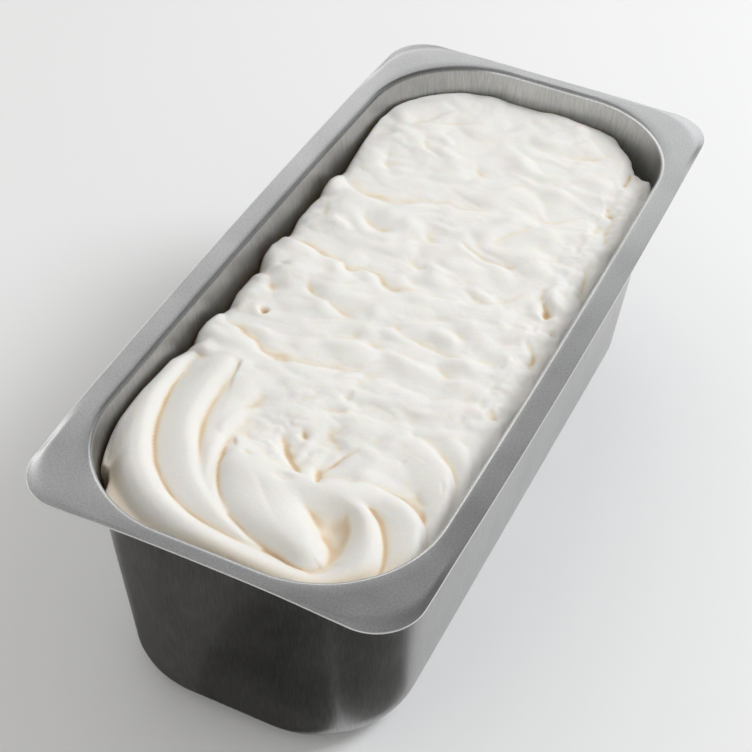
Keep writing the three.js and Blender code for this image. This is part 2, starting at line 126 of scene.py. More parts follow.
# ---------------------------------------------------------------- the ice cream
# Plan points are in mm, levels in mm from the flange top. A ridge is a spatula stroke: its nodes
# hold crest x, crest y, crest level, and half-widths to the left and right of the stroke.
RIDGES = [
    # round the near end, outermost first
    dict(nodes=[(-66, -69, -13, 5, 6), (-67.5, -79, -10.6, 5.5, 8), (-66.5, -96, -8.6, 6, 9), (-63, -111, -7.6, 5.8, 11), (-58.5, -122, -7.3, 5.4, 11), (-51.5, -134, -7.0, 5.8, 10.5), (-43, -143.5, -6.8, 6, 9), (-32, -151.5, -6.9, 6, 8), (-18, -156.8, -7.1, 6, 7), (0, -160, -7.3, 6.5, 6.8), (18, -161.2, -8.0, 7.5, 6.8), (34, -160, -10.0, 6, 7.5)], sag=4.3, grain=0.1, power=(2.1, 1.8)),
    dict(nodes=[(-50, -57, -11.8, 7, 12), (-49, -72, -9.4, 6.5, 13), (-48, -88, -8.3, 6, 13), (-46.4, -101, -7.6, 5.6, 12.5), (-43, -112, -7.2, 5.2, 12), (-37, -123, -7.0, 5.2, 12), (-29.5, -132.5, -7.1, 5.2, 12), (-20, -140.5, -7.6, 5, 11), (-9, -147, -8.6, 4.6, 7), (3, -151.5, -10.0, 3.4, 4), (12, -153.5, -11.6, 3, 3)], sag=4.0, grain=0.1, power=(2.1, 1.5)),
    dict(nodes=[(-30, -66, -11.8, 8, 9), (-35, -78, -10.2, 8, 8.5), (-35, -93, -9.6, 8, 8.5), (-32.5, -106, -9.2, 6, 8), (-28.5, -118, -8.8, 4.2, 7), (-24, -128, -8.7, 3.8, 7), (-17, -137.5, -9.2, 3.6, 6), (-9, -144, -10.4, 3.4, 5)], sag=3.6, grain=0.3),
    dict(nodes=[(-19, -114, -10.0, 13, 7), (-14, -121, -8.2, 15, 10), (-5, -129, -7.0, 16, 12.5), (7, -137, -6.2, 15.5, 11.5), (18, -142.5, -5.7, 11.5, 9.2), (26.5, -146, -5.6, 8.6, 8.2)], sag=4.6, grain=0.06, power=(2.3, 2.4)),
    dict(nodes=[(-12, -118, -9.6, 9, 9), (4, -121, -8.9, 9, 10.5), (18, -119, -8.4, 9, 10.5), (30, -115.5, -8.4, 8, 9), (40, -112.5, -8.9, 6, 6)], sag=3.6, grain=0.15, power=(2.4, 2.0)),
    dict(nodes=[(27, -118, -9.2, 6, 6), (35, -119.5, -8.4, 5, 4.5), (42, -124.5, -7.4, 5, 5), (47.5, -133, -6.9, 5.4, 6.5), (50.5, -142, -6.8, 5.6, 8.2), (50, -150, -7.4, 6, 8.6), (44, -157.5, -8.4, 7, 8), (32, -163, -9.6, 7, 6)], sag=4.0, grain=0.1),
    dict(nodes=[(33, -111, -9.6, 7, 7), (41, -110.5, -8.9, 5.5, 8.5), (51, -112, -8.2, 5, 10), (59, -117.5, -7.5, 4.4, 10.5), (63.5, -125, -7.2, 4, 10.5), (65.5, -134, -7.6, 4, 10), (64, -144, -9, 5, 9), (58, -153, -10.6, 5, 7)], sag=4.0, grain=0.25),
    dict(nodes=[(36, -77, -11.2, 8, 13), (48, -80.5, -9.9, 6.5, 14), (56, -85.5, -9.1, 4.8, 14), (61.5, -93, -8.8, 4.2, 12), (64.5, -102, -9.2, 4.2, 9), (66, -112, -10.2, 4, 7), (67, -119, -11.6, 4, 5)], sag=3.4, grain=0.5),
    dict(nodes=[(42, -64, -12.2, 8, 8), (56, -70, -10.9, 6, 8), (63, -76.5, -10.3, 4.6, 7), (67, -85, -10.4, 4, 6), (69, -96, -12, 4, 5)], sag=3.4, grain=0.5),
]
# A fold line: where one wave of ice cream laps over the last. The south side rises steeply by
# rise and falls off slowly; dip is the groove's depth. Both are given along the line.
FOLDS = [
    dict(path=[(-73, 81), (-67, 77), (-59, 70.5), (-50, 65.5), (-40, 66), (-30, 69), (-18, 74), (-4, 77), (10, 77), (34, 80), (66, 88)],
         rise=[2.6, 2.9, 3.0, 2.6, 2.1, 1.8, 1.4, 1.1, 0.9, 0.8, 0.9], dip=[4.4, 4.2, 3.6, 2.8, 2.1, 1.6, 1.2, 0.8, 0.3, 0.2, 0.8]),
    dict(path=[(-73, 25), (-67, 21), (-58, 17.5), (-46, 14.5), (-37, 14), (-33, 11), (-26, 13), (-18, 11), (-9, 6), (-3, 8), (6, 10), (26, 16), (48, 22), (67, 26)],
         rise=[2.8, 3.0, 2.8, 2.3, 1.9, 1.7, 1.5, 1.5, 1.3, 1.1, 0.9, 0.8, 0.8, 1.0], dip=[4.2, 3.4, 2.2, 1.2, 0.9, 1.0, 1.2, 1.7, 2.0, 1.3, 0.6, 0.2, 0.3, 0.8]),
    dict(path=[(-73, -35), (-67, -40), (-58, -45.5), (-47, -49.5), (-38, -54), (-28, -53), (-15, -50), (-6, -48), (8, -48), (30, -46), (50, -42), (67, -36)],
         rise=[2.8, 3.0, 2.6, 2.0, 1.8, 1.9, 1.7, 1.2, 0.9, 0.8, 0.8, 0.9], dip=[4.4, 3.8, 2.2, 1.2, 1.6, 3.2, 2.6, 1.1, 0.5, 0.2, 0.5, 1.0]),
]
# Grooves cut into the surface: depth, then the width of the slope on each side.
GROOVES = [
    # lips lifted along the left wall
    dict(path=[(-73, 56), (-67, 54), (-62, 47), (-58, 38), (-54, 27)], depth=[3.5, 2.4, 1.5, 1.1, 0], left=4.5, right=3.2),
    dict(path=[(-73, -4), (-67, -8), (-60, -12), (-56, -18), (-50, -24), (-40, -28)], depth=[4.5, 3.2, 1.7, 1.2, 0.7, 0], left=4.5, right=3.2),
    dict(path=[(-56, 106), (-54, 97), (-50, 88), (-44, 86)], depth=[0, 0.7, 1.0, 0], left=4, right=2),
    # curls left by the turn of the spatula, in each wave
    dict(path=[(-56, 126), (-50, 129), (-42, 132), (-33, 137), (-22, 141)], depth=[0, 1.0, 1.2, 0.8, 0], left=3.5, right=1.6),
    dict(path=[(-43, 121), (-42, 113), (-37, 108), (-30, 106), (-21, 107)], depth=[0, 1.1, 1.5, 1.1, 0], left=6, right=2.2),
    dict(path=[(-43, 57), (-41, 49), (-37, 44.5), (-30, 43), (-20, 45)], depth=[0, 0.9, 1.3, 1.0, 0], left=6, right=2.2),
    dict(path=[(-44, -3), (-42, -10), (-37, -14.5), (-29, -16), (-21, -17.5), (-14, -17)], depth=[0, 1.3, 1.9, 1.5, 1.3, 0], left=6, right=1.8),
    dict(path=[(-16, 112), (-12, 107), (-9, 103), (-2, 101)], depth=[0, 1.0, 1.0, 0], left=3.5, right=2),
    dict(path=[(-16, 54), (-11, 49), (-6, 46), (0, 47)], depth=[0, 0.9, 0.9, 0], left=3.5, right=2),
    dict(path=[(2, -9), (4, -15), (9, -19), (20, -20), (38, -20.5), (52, -15)], depth=[0, 1.4, 1.2, 1.0, 0.7, 0], left=5, right=2),
    dict(path=[(4, 52), (10, 48.5), (18, 45.5), (28, 45), (38, 48)], depth=[0, 1.7, 1.4, 0.8, 0], left=2.6, right=1.4),
    dict(path=[(14, 140), (24, 137.5), (34, 140), (40, 146), (45, 155)], depth=[0, 0.9, 1.3, 1.1, 0], left=8, right=3),
    dict(path=[(20, 96), (27, 89), (32, 84), (40, 88), (48, 97), (52, 106)], depth=[0, 1.0, 1.4, 1.1, 0.7, 0], left=7, right=2.4),
    dict(path=[(16, 27), (24, 21), (32, 18.5), (38, 22), (44, 31), (48, 42)], depth=[0, 1.1, 1.5, 1.3, 1.0, 0], left=7, right=2.2),
    dict(path=[(26, -22), (31, -30), (38, -34), (46, -30)], depth=[0, 0.9, 0.9, 0], left=5, right=2.4),
    dict(path=[(-12, -24), (-8, -29), (-2, -31), (6, -29)], depth=[0, 0.8, 0.8, 0], left=4, right=2.4),
    dict(path=[(-14, 33), (-10, 28), (-5, 26), (0, 30)], depth=[0, 0.7, 0.9, 0], left=4, right=2.4),
    # lumpy edge along the right wall
    dict(path=[(56, 140), (57, 132), (57, 124)], depth=[3, 2.2, 0], left=1.6, right=3),
    dict(path=[(52, 112), (60, 103), (62, 92), (63, 80)], depth=[0, 1.6, 1.8, 0.5], left=1.8, right=4),
    dict(path=[(50, 42), (52, 33), (57, 24), (61, 17)], depth=[0, 1.5, 2.2, 0], left=2, right=3),
    dict(path=[(52, 3), (60, 0), (64, -7), (63, -16)], depth=[0, 1.1, 1.6, 0], left=2, right=3),
    dict(path=[(60, 62), (66, 50), (69, 38)], depth=[0, 3.4, 0], left=5, right=4),
    # the torn middle of the swirl
    dict(path=[(-9, -94), (-5, -99), (-1, -104), (3, -108), (8, -113)], depth=[0, 1.8, 2.8, 2.8, 0.4], left=2.6, right=1.6),
    dict(path=[(-4, -87), (-1, -91), (3, -95)], depth=[0, 1.7, 0], left=1.4, right=1.2),
    dict(path=[(22, -89), (20, -94), (17, -100), (14, -106)], depth=[0, 1.5, 1.6, 0.3], left=1.4, right=1.4),
    dict(path=[(12, -104), (14, -110), (16, -115), (17, -118)], depth=[0.4, 2.4, 2.6, 0], left=2.2, right=1.6),
    dict(path=[(6, -80), (9, -86), (15, -91), (20, -91)], depth=[0, 1.3, 1.4, 0], left=3.0, right=3.6),
    dict(path=[(-27, -114), (-25.5, -120), (-21.5, -130), (-16.5, -138.5)], depth=[0, 0.7, 0.9, 0], left=1.6, right=1.4),
    dict(path=[(-9, -121), (-3, -126), (5, -134), (14, -142)], depth=[0, 0.35, 0.3, 0], left=2.4, right=0.7),
    dict(path=[(-21, -74), (-27, -84), (-33, -97), (-33, -106), (-26, -111)], depth=[0, 0.8, 0.9, 1.1, 0], left=2.0, right=4.0),
    dict(path=[(60, -86), (65, -95), (68, -103)], depth=[0.4, 1.2, 0], left=1.2, right=1.0),
    dict(path=[(61.5, -117), (66, -124.5), (68, -131)], depth=[0, 1.5, 0], left=1.2, right=1.0),
    dict(path=[(58, -91), (61, -95), (62, -99)], depth=[0, 0.8, 0], left=0.8, right=0.8),
    dict(path=[(51, -99), (55, -103), (60, -106)], depth=[0, 0.6, 0], left=0.9, right=0.9),
    dict(path=[(56, -106), (60, -110), (62, -114)], depth=[0, 0.7, 0], left=0.9, right=0.9),
    dict(path=[(-50, -160), (-42, -163.5), (-34, -165.5)], depth=[0, 1.6, 0], left=1.2, right=0.8),
]
# x, y, radius along x, radius along y, height (negative for pits)
MOUNDS = [
    (-29, 114, 6, 5, 1.0), (-24, 52, 7, 6, 0.9), (-30, -5, 6, 5, 1.3), (-52, 118, 9, 12, 0.7),
    (-52, 44, 6, 10, 0.7), (-50, -2, 9, 10, 0.8), (15, -11, 7, 4, 0.9), (34.5, -137, 4.4, 8.5, -3.0), (27, -128, 5, 5, -1.6), (34, 34, 10, 8, -1.0),
    (36, 98, 10, 8, -0.9), (30, 150, 12, 7, 0.7), (54, 34, 4, 6, 1.3), (58, -24, 6, 8, 0.9),
    (60, -52, 6, 7, 0.8), (-64, 8, 6, 8, 0.6), (-64, -54, 6, 7, 0.7), (60, 60, 8, 8, -0.6),
    (-51.5, -31.5, 1.7, 1.5, -3.4), (62, -47, 2.6, 2.2, -1.9), (65, -43, 1.8, 2.6, -1.5),
    (58, 22.5, 2.2, 1.6, -1.3), (66, 13.5, 1.8, 1.4, -1.5), (-57, -2, 2.4, 1.2, -0.7),
    (62, -7, 1.6, 2.2, -1.2), (-15, -112, 2.0, 1.2, -1.1), (5, -64, 1.3, 2.4, -0.8),
    (38, -73, 1.3, 1.3, -0.4), (16, -76, 6, 4, 1.2),
    (-16, -74, 4, 3, 0.8), (-23, -79, 4, 3, 0.7), (2, -98, 1.6, 6, 1.2), (9, -101, 2.4, 5, 0.9),
    (4, -120, 3.0, 1.8, -1.1), (4, -117.4, 3.2, 1.8, 0.9), (14, -101, 6, 5, -0.9), (-8, -107, 5, 4, 1.0), (-14, -97, 4, 4, 0.8),
    (28, -97, 11, 9, 1.6), (42, -92, 10, 8, 0.7), (6, -84, 4.0, 5.5, -1.5), (5, -101, 10, 11, -1.5),
    (-12, -88, 8, 6, 0.5), (2, -118, 26, 8, 2.2), (30, -109, 12, 6, 1.4), (41, -88, 0.9, 1.2, -0.4),
]
# Round the wall: x, y, the level where the ice cream meets the wall, and how far it is pulled
# away from the wall there.
CONTACT = [
    (-72, 128, -11.5, 0.2), (-72, 116, -13, 0.2), (-72, 105, -14.6, 0.2), (-71, 92, -17, 0.4), (-71, 82, -20, 0.7), (-71, 76, -18.5, 0.5),
    (-71, 67, -14.8, 0.2), (-71, 60, -15, 0.3), (-71, 54, -17.4, 0.5), (-71, 46, -15.6, 0.2), (-71, 34, -15.4, 0.2), (-71, 24, -19, 0.7), (-71, 18, -16.5, 0.4),
    (-72, 9, -12.4, 0.1), (-72, 1, -13.2, 0.2), (-71, -6, -19, 0.6), (-71, -13, -17.0, 0.4), (-71, -26, -16.5, 0.3),
    (-71, -37, -20.5, 0.8), (-72, -44, -17.0, 0.3), (-72, -53, -12.8, 0.1), (-72, -60, -13.6, 0.2), (-72, -67, -18.5, 0.8),
    (-72, -73, -14.5, 0.3), (-72, -82, -10.8, 0.1), (-72, -97, -9.8, 0.0), (-72, -112, -8.6, 0.0), (-71, -121, -9.2, 0.1),
    (-70, -129, -10.6, 0.3), (-68, -136, -11.2, 0.5), (-65, -143, -11.6, 0.7), (-62.5, -146.5, -14.5, 3.2), (-59, -150.5, -14.5, 2.8), (-55, -154, -13.4, 0.8), (-51, -158, -12.8, 0.4),
    (-30, -167, -14.5, 0.2), (0, -169, -15, 0.1), (30, -168, -14.5, 0.1), (50, -158, -13.6, 0.1), (62, -148, -13.2, 0.1), (69, -132, -13.2, 0.2),
    (71, -115, -14, 0.2), (71, -98, -14, 0.3), (71, -84, -13.4, 0.2), (71, -72, -16.5, 0.4), (71, -58, -13.6, 0.2), (71, -44, -18, 0.8),
    (71, -30, -14, 0.2), (71, -8, -17, 0.5), (71, 4, -14.6, 0.3), (71, 14, -18, 0.6), (71, 30, -14, 0.2), (71, 50, -20, 1.2),
    (71, 64, -16.5, 0.6), (71, 78, -18, 0.6), (71, 94, -15, 0.4), (71, 112, -16, 0.4), (71, 128, -15.5, 0.3), (67, 140, -15.5, 0.5),
    (64, 146, -17.5, 4.4), (57, 154, -17.5, 6.2), (48, 161, -16.5, 4.2), (38, 167, -16, 1.6), (10, 169, -15.8, 0.5), (-20, 169, -15.8, 0.5), (-42, 165, -14.2, 0.4),
    (-56, 156, -13.6, 0.3), (-66, 142, -12.6, 0.2),
]
# the worked plateau that the swirl is cut into ends along this line (x, y)
PLATEAU_EDGE = [(-80, -67), (-44, -64), (-37, -92), (-29, -110), (-10, -118), (10, -120), (30, -112), (50, -103), (62, -92), (80, -84)]
# x, y, radius, how sharply the strokes meet there: low is a wide, scooped valley
SCOOPS = [(30, -129, 7, 0.9), (-8, -145.5, 8, 0.9), (10, -150.5, 7, 0.9), (-24, -126, 5, 1.0), (-41, -74, 12, 0.45), (-32, -98, 9, 0.9)]
LEVEL = -12.6
FLOOR = -13.2
GAP = 0.35
EDGE_ROUND = 9.0


def spline(points, n):
    """Catmull-Rom through the points, on all their columns."""
    p = np.array(points, float)
    p = np.vstack([2 * p[0] - p[1], p, 2 * p[-1] - p[-2]])
    m = len(p) - 3
    s = np.linspace(0, m, n)
    k = np.minimum(s.astype(int), m - 1)
    t = (s - k)[:, None]
    a, b, c, d = p[k], p[k + 1], p[k + 2], p[k + 3]
    return 0.5 * (2 * b + (c - a) * t + (2 * a - 5 * b + 4 * c - d) * t**2 + (3 * b - a - 3 * c + d) * t**3)


def along(curve, x, y):
    """Distance to a polyline for each point, its side (left positive) and its share of the way."""
    best = np.full(x.shape, 1e9)
    share, side = np.zeros(x.shape), np.ones(x.shape)
    n = len(curve) - 1
    for i in range(n):
        a, e = curve[i, :2], curve[i + 1, :2] - curve[i, :2]
        t = np.clip(((x - a[0]) * e[0] + (y - a[1]) * e[1]) / (e @ e), 0, 1)
        dx, dy = x - a[0] - e[0] * t, y - a[1] - e[1] * t
        d = np.hypot(dx, dy)
        m = d < best
        best[m] = d[m]
        share[m] = (i + t[m]) / n
        side[m] = np.where(e[0] * dy[m] - e[1] * dx[m] < 0, -1, 1)
    return best, side, share


def near(path, x, y, reach):
    p = np.array(path, float)
    return (x > p[:, 0].min() - reach) & (x < p[:, 0].max() + reach) & (y > p[:, 1].min() - reach) & (y < p[:, 1].max() + reach)


def to_wall(plan, x, y):
    length, width, r = plan[:3]
    qx, qy = np.abs(x) - (width / 2 - r), np.abs(y) - (length / 2 - r)
    return r - np.hypot(np.maximum(qx, 0), np.maximum(qy, 0)) - np.minimum(np.maximum(qx, qy), 0)


def surface(x, y, wall):
    """Level from the flange top, roughness share and painted crease shade of the ice cream over plan points."""
    calm = smooth(-72, -92, y) * (1 - smooth(36, 26, np.hypot((x - 2) / 1.15, y + 92)) * 0.9)  # the swirl's strokes are clean
    stir = 1 - 0.7 * calm
    wx = x + stir * (1.5 * noise(x / 26, y / 26, 11) + 0.7 * noise(x / 9, y / 9, 12))
    wy = y + stir * (1.7 * noise(x / 24, y / 24, 21) + 0.8 * noise(x / 9, y / 9, 22))
    painted_crease_shade = np.zeros(x.shape)

    # the plateau with its lapping folds
    base = np.full(x.shape, LEVEL)
    ax, ay = x + 5 * noise(x / 22, y / 22, 51), y + 5 * noise(x / 22, y / 22, 52)
    rx, ry = 0.975 * ax + 0.22 * ay, 0.975 * ay - 0.22 * ax  # along the strokes
    base += stir * (1.2 * noise(ax / 28, ay / 19, 1) + 2.5 * billow(rx / 21, ry / 13, 2, 0.2) + 0.9 * noise(ax / 13, ay / 10, 3))
    for f in FOLDS:
        n = 12 * len(f["path"])
        curve = spline(np.c_[f["path"], f["rise"], f["dip"]], n)
        d, side, t = along(curve, wx, wy)
        at = t * (n - 1)
        rise, dip = np.interp(at, range(n), curve[:, 2]), np.interp(at, range(n), curve[:, 3])
        south = side < 0
        lap = rise * (1 - np.exp(-((d / 4.2) ** 1.3))) * np.exp(-((d / 32) ** 1.5))
        base += np.where(south, lap - dip * np.exp(-((d / 2.6) ** 1.5)), -dip * np.exp(-((d / 6.5) ** 1.15)))
        # painted shade: the fold's groove is coloured darker and warmer
        painted_crease_shade = np.maximum(painted_crease_shade, 1.1 * np.clip(dip / 2.0, 0, 1) * np.exp(-((d / 2.6) ** 2)) * smooth(-64, -54, x) * smooth(20, 6, x) * (0.75 + 0.6 * noise(x / 9, y / 9, 77)))
    px, py = zip(*PLATEAU_EDGE)
    base -= 8 * smooth(0, 9, np.interp(x, px, py) + 1.5 * noise(x / 8, y / 8, 8) - y)

    levels, grains, flanks = [np.maximum(base, FLOOR)], [np.full(x.shape, 0.75)], [np.full(x.shape, 0.2)]
    for k, s in enumerate(RIDGES):
        z, g, f = np.full(x.shape, -40.0), np.full(x.shape, s["grain"]), np.zeros(x.shape)
        m = near([q[:2] for q in s["nodes"]], x, y, 26)
        n = 9 * len(s["nodes"])
        curve = spline(s["nodes"], n)
        d, side, t = along(curve, wx[m], wy[m])
        at = t * (n - 1)
        crest, wl, wr = (np.interp(at, range(n), curve[:, c]) for c in (2, 3, 4))
        # the inner side is drawn in as the blade turns, so where the side changes the widths blend
        share = smooth(-1.2, 1.2, side * d)
        q = d / np.maximum(wr + (wl - wr) * share, 2)
        steep, gentle = s.get("power", (2.5, 1.5))
        streak = 0.05 * noise(side * d / 2.4 + 5 * k, t * 2.0, 40 + k) + 0.02 * noise(side * d / 1.1, t * 4.0, 60 + k)
        z[m] = crest - s["sag"] * q ** (gentle + (steep - gentle) * share) + streak * np.exp(-((q / 0.95) ** 6))
        f[m] = smooth(0.55, 0.95, q)
        levels.append(z)
        grains.append(g)
        flanks.append(f)
    levels, grains, flanks = np.array(levels), np.array(grains), np.array(flanks)
    sharp, scoop = np.full(x.shape, 1.7), np.zeros(x.shape)
    for sx, sy, sr, soft in SCOOPS:
        k = np.exp(-0.5 * ((x - sx) ** 2 + (y - sy) ** 2) / sr**2)
        sharp += (soft - sharp) * k
        scoop = np.maximum(scoop, k)
    top = levels.max(0)
    weight = np.exp(np.maximum(sharp * (levels - top), -40))
    z = top + np.log(weight.sum(0)) / sharp
    rough = (grains * weight).sum(0) / weight.sum(0)
    # a fine crease where two flanks meet
    order = np.argsort(levels, axis=0)[-2:]
    (za, zb), (fa, fb) = np.take_along_axis(levels, order, 0), np.take_along_axis(flanks, order, 0)
    crease = np.exp(-(((zb - za) / 1.5) ** 2)) * fa * fb * (0.9 + 0.7 * noise(x / 9, y / 9, 33)) * (1 - 0.8 * scoop)
    z -= 0.3 * crease
    # painted shade: the crease is also coloured darker and warmer
    painted_crease_shade = np.maximum(painted_crease_shade, 0.6 * crease)

    for g in GROOVES:
        m = near(g["path"], x, y, 16)
        n = 10 * len(g["path"])
        curve = spline(np.c_[g["path"], g["depth"]], n)
        d, side, t = along(curve, wx[m], wy[m])
        depth = np.maximum(np.interp(t * (n - 1), range(n), curve[:, 2]), 0)
        w = np.where(side > 0, g["left"], g["right"])
        cut = depth * np.exp(-((d / (1.1 * w)) ** 1.45))
        z[m] -= cut
        # painted shade along the bottom of the groove
        painted_crease_shade[m] = np.maximum(painted_crease_shade[m], 0.8 * np.clip(depth / 2.8, 0, 1) * np.exp(-((d / 1.3) ** 2)))
    for mx, my, rx, ry, h in MOUNDS:
        m = (np.abs(x - mx) < 4 * rx) & (np.abs(y - my) < 4 * ry)
        k = np.exp(-0.5 * (((wx[m] - mx) / rx) ** 2 + ((wy[m] - my) / ry) ** 2) ** (1.0 if abs(h) < 1.6 and rx > 3 else 1.5))
        z[m] += h * k
        # small deep pits get painted shade
        if h < -1.5 and rx < 4:
            painted_crease_shade[m] = np.maximum(painted_crease_shade[m], 0.8 * k)

    # whipped lumps with soft tops and pinched edges, and torn grain in patches
    bx, by = x + 1.8 * noise(x / 9, y / 9, 71), y + 1.8 * noise(x / 9, y / 9, 72)
    patch = smooth(0.0, 0.5, noise(x / 23, y / 23, 73))
    lumps = 0.6 * billow(bx / 9.5, by / 8.0, 5, 0.25) + 0.24 * noise(bx / 6.0, by / 5.4, 15)
    grain = 0.4 * noise(bx / 2.8, by / 2.6, 6) + 0.25 * noise(bx / 1.7, by / 1.6, 7)
    torn = smooth(30, 16, np.hypot((x + 4) / 1.2, y + 86)) * (0.6 + 0.8 * patch)
    crumbs = 0.7 * noise(bx / 5.6, by / 5.0, 9) + 0.4 * noise(bx / 3.0, by / 2.8, 10)
    beside = smooth(44, 58, x) * smooth(-66, -50, y)  # knocked about along the right wall
    z += beside * (1.0 * noise(bx / 7.5, by / 9.0, 81) + 0.55 * noise(bx / 3.6, by / 4.0, 82))
    z += rough * ((0.5 + 0.6 * patch) * lumps + (0.04 + 0.26 * patch + 0.14 * torn) * grain) + 0.6 * torn * crumbs

    # down to the wall
    cx, cy, cl, cp = (np.array(c, float) for c in zip(*CONTACT))
    angle = np.arctan2(cy / 2.3, cx)
    order = np.argsort(angle)
    here = np.arctan2(y / 2.3, x)
    level = np.interp(here, angle[order], cl[order], period=2 * np.pi)
    pull = np.interp(here, angle[order], cp[order], period=2 * np.pi)
    pull = pull * (1 + 0.25 * noise(x / 6, y / 6, 91)) + 0.25
    gap = wall - pull
    edge = 1 - np.clip(gap / EDGE_ROUND, 0, 1)
    z -= np.maximum(z - level, 0) * (1 - np.sqrt(np.maximum(0, 1 - edge**2.2)))
    z -= np.clip(-gap, 0, None) * np.where(pull > 1.5, 9.0, 2.4)
    return np.maximum(z, -46), rough, painted_crease_shade


def room(z):
    """Plans of the room inside the pan at heights z above the underside; one row for each height."""
    z = np.atleast_1d(z)
    inner, mouth = grown(FOOT, -SHEET - GAP), grown(OPENING, -GAP)
    t = np.clip((z - FILLET) / (BEND_Z - FILLET), 0, 1.0)[:, None]
    plans = inner + (mouth - inner) * t
    r = FILLET - SHEET - GAP
    a = np.arccos(np.clip((FILLET - z) / r, 0, 1))
    shrink = np.where(z < FILLET, -r * (1 - np.sin(a)), 0.0)[:, None]
    return plans + GROW * shrink


def room_point(plans, u, v):
    """Points of plans by shares across (u) and along (v), -1 to 1. plans has a row for each point."""
    length, width, r = plans[..., 0], plans[..., 1], plans[..., 2]
    hx, hy = width / 2, length / 2
    arc = r * np.pi / 2
    total = hy - r + arc
    m = np.abs(v) * total
    a = np.clip((m - (hy - r)) / r, 0, np.pi / 2)
    yb = np.where(m < hy - r, m, hy - r + r * np.sin(a))
    xb = hx - r + r * np.cos(a)
    y0 = np.abs(v) * hy
    y = (y0 + (yb - y0) * u**2) * np.sign(v)
    x = u * xb
    bow, hollow = plans[..., 3], plans[..., 4]
    fx, fy = np.clip(x / hx, -1, 1), np.clip(y / hy, -1, 1)
    return x + bow * (1 - fy**2) * fx, y - hollow * (1 - fx**2) * fy


def mesh_object(name, verts, faces, smooth_shade=True):
    me = bpy.data.meshes.new(name)
    me.from_pydata((np.asarray(verts) * MM).tolist(), [], faces)
    me.validate()
    me.update()
    if smooth_shade:
        me.polygons.foreach_set("use_smooth", [True] * len(me.polygons))
    ob = bpy.data.objects.new(name, me)
    bpy.context.scene.collection.objects.link(ob)
    return ob


def blur(field, times):
    for _ in range(times):
        p = np.pad(field, 1, mode="edge")
        field = (p[1:-1, :-2] + p[1:-1, 2:] + p[:-2, 1:-1] + p[2:, 1:-1] + 2 * field) / 6
    return field


def make_ice_cream():
    nu, nv = ((188, 472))
    s = np.linspace(-1, 1, nu + 1)
    us = s + 0.07 * np.sin(np.pi * s)  # finer near the walls
    vs = np.linspace(-1, 1, nv + 1)
    U, V = np.meshgrid(us, vs)
    plan = room(TOP - 14.0)[0]
    X, Y = room_point(np.broadcast_to(plan, U.shape + (5,)), U, V)
    Z, rough, painted_crease_shade = surface(X, Y, to_wall(plan, X, Y))
    zz = (TOP + Z).ravel()
    X2, Y2 = room_point(room(zz), U.ravel(), V.ravel())
    verts = [np.c_[X2, Y2, zz]]
    idx = np.arange((nu + 1) * (nv + 1)).reshape(nv + 1, nu + 1)
    a, b, c, d = idx[:-1, :-1].ravel(), idx[:-1, 1:].ravel(), idx[1:, 1:].ravel(), idx[1:, :-1].ravel()
    faces = np.c_[a, b, c, d].tolist()
    edge = np.concatenate([idx[0, :-1], idx[:-1, -1], idx[-1, :0:-1], idx[:0:-1, 0]])
    eu, ev = U.ravel()[edge], V.ravel()[edge]
    upper, count, n = edge, len(zz), len(edge)
    r = FILLET - SHEET - GAP
    heights = [70.0, FILLET] + [FILLET - r * math.cos(t) for t in np.radians([66, 44, 22, 0])]
    for h in heights:
        plans = np.broadcast_to(room(h)[0], (n, 5))
        ex, ey = room_point(plans, eu, ev)
        verts.append(np.c_[ex, ey, np.full(n, h)])
        lower = count + np.arange(n)
        faces += np.c_[upper, lower, np.roll(lower, -1), np.roll(upper, -1)].tolist()
        upper, count = lower, count + n
    verts.append([[0, 0, heights[-1]]])
    faces += np.c_[np.full(n, count), np.roll(upper, -1), upper].tolist()
    ob = mesh_object("ice_cream_surface", np.concatenate(verts), faces)
    # painted shade: how far each point lies under its surroundings; creases and valleys are coloured darker and warmer,
    # standing in for the warm light held in creases
    wide = np.clip((blur(Z, 70) - Z - 0.15) / 2.3, 0, 0.72)
    hollow = np.clip(np.clip((blur(Z, 8) - Z) / 2.9, 0, 0.45) + wide + 0.55 * painted_crease_shade, 0, 1)
    # painted shade: the ice near the wall at the near end is also coloured darker and warmer
    hollow = np.maximum(hollow, 0.62 * smooth(13, 4, to_wall(plan, X, Y)) * smooth(-118, -150, Y))
    values = np.zeros(len(ob.data.vertices), np.float32)
    values[: hollow.size] = hollow.ravel()
    ob.data.attributes.new("hollow", "FLOAT", "POINT").data.foreach_set("value", values)
    values[: hollow.size] = rough.ravel()
    ob.data.attributes.new("torn", "FLOAT", "POINT").data.foreach_set("value", values)
    return ob


# ---------------------------------------------------------------- the pan
def corner_drop(x, y):
    dx = np.maximum(0, FLANGE[1] / 2 - FLANGE[2] - np.abs(x))
    dy = np.maximum(0, FLANGE[0] / 2 - FLANGE[2] - np.abs(y))
    return 0.9 * (1 - smooth(0, 34, np.maximum(dx, dy)))


